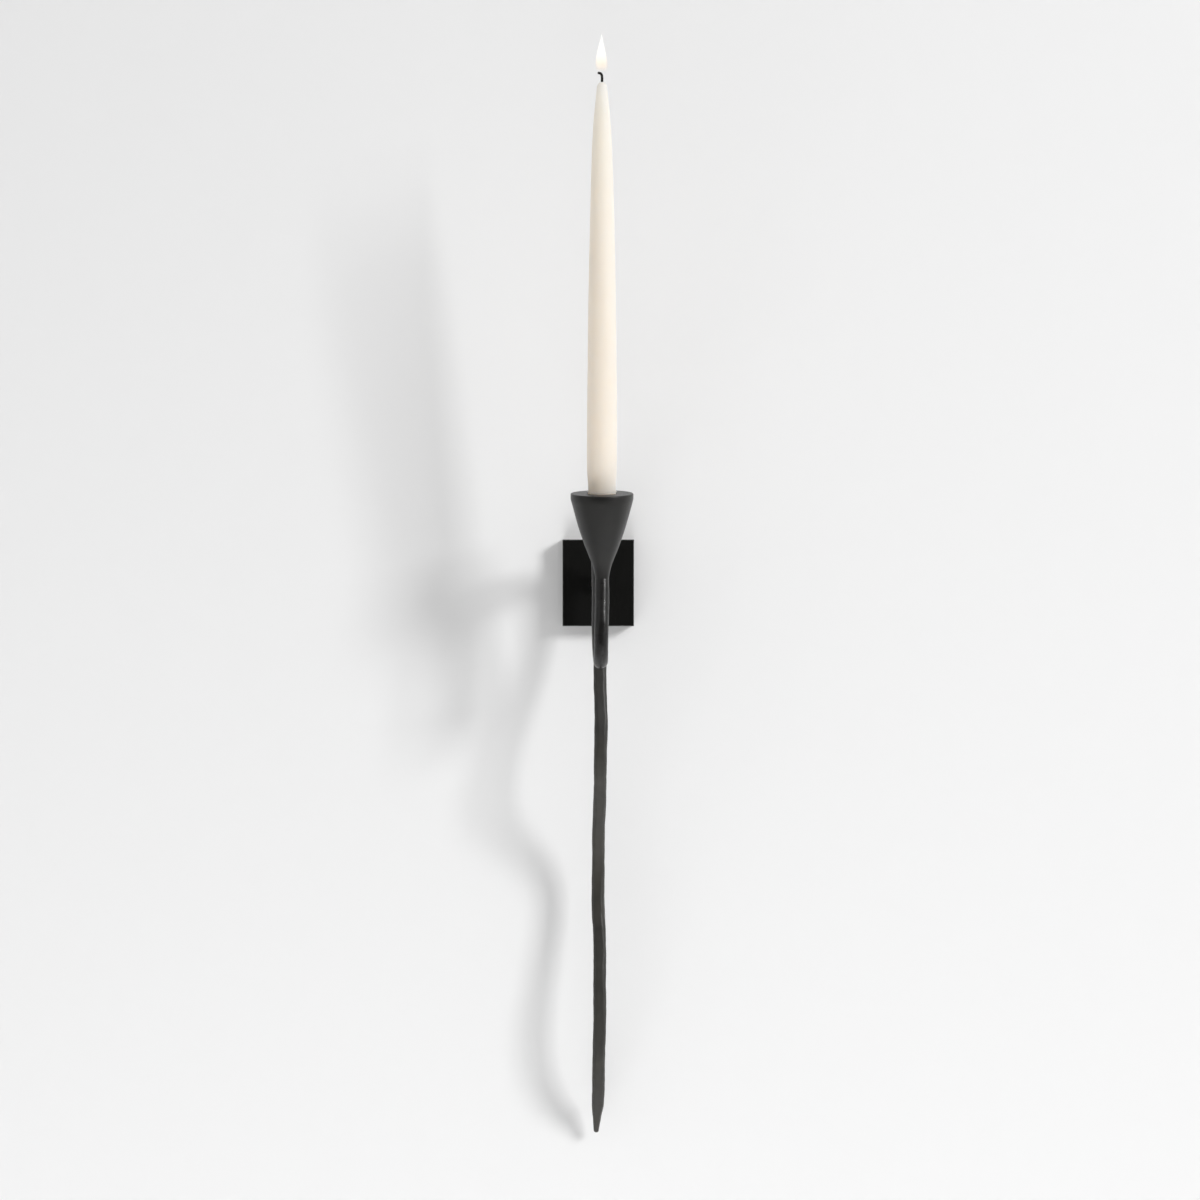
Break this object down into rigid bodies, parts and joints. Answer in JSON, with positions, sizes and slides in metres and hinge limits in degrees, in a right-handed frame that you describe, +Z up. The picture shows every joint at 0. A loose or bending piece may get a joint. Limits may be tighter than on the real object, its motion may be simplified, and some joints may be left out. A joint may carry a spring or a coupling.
{
  "type": "wall sconce candle holder",
  "caption": "Forged iron wall sconce: box back plate, hooked arm with a conical cup, wavy tail, and one taper candle.",
  "frame": {"origin": "on the wall plane, midway between the bracket's two wall screw holes, at the centre of the back plate", "axes": "+Z up, -Y away from the wall towards the room, +X to the right as seen from the room"},
  "size_m": [0.052, 0.1367, 0.7566],
  "materials": {
    "forged_iron": "blackened and waxed, fine hammered texture, satin",
    "cast_cup": "blackened, turned and brushed, satin",
    "plate_enamel": "smooth black semi-gloss paint",
    "zinc_steel": "bright zinc plating",
    "black_oxide_steel": "black oxide",
    "candle_wax": null,
    "cotton_wick": "charred braided cotton"
  },
  "bodies": {
    "bracket": {"wall_bracket": "zinc_steel"},
    "holder": {"backplate": "plate_enamel", "hanger_bar": "plate_enamel", "hook_arm": "forged_iron", "arm_washer": "zinc_steel", "arm_lock_washer": "zinc_steel", "arm_nut": "zinc_steel", "tail_bar": "forged_iron", "cup": "cast_cup", "cup_stud": "zinc_steel"},
    "lock": {"lock_screw": "black_oxide_steel"},
    "candle": {"candle": "candle_wax", "wick": "cotton_wick"}
  },
  "joints": [
    {"name": "holder_lift", "type": "slide", "parent": "bracket", "child": "holder", "axis": [0, 0, 1], "range_m": [0, 0.006]},
    {"name": "lock_screw_travel", "type": "slide", "parent": "holder", "child": "lock", "axis": [0, 0, -1], "range_m": [0, 0.007]},
    {"name": "candle_lift", "type": "slide", "parent": "holder", "child": "candle", "axis": [0, -0.1045, 0.9945], "range_m": [0, 0.027]}
  ]
}
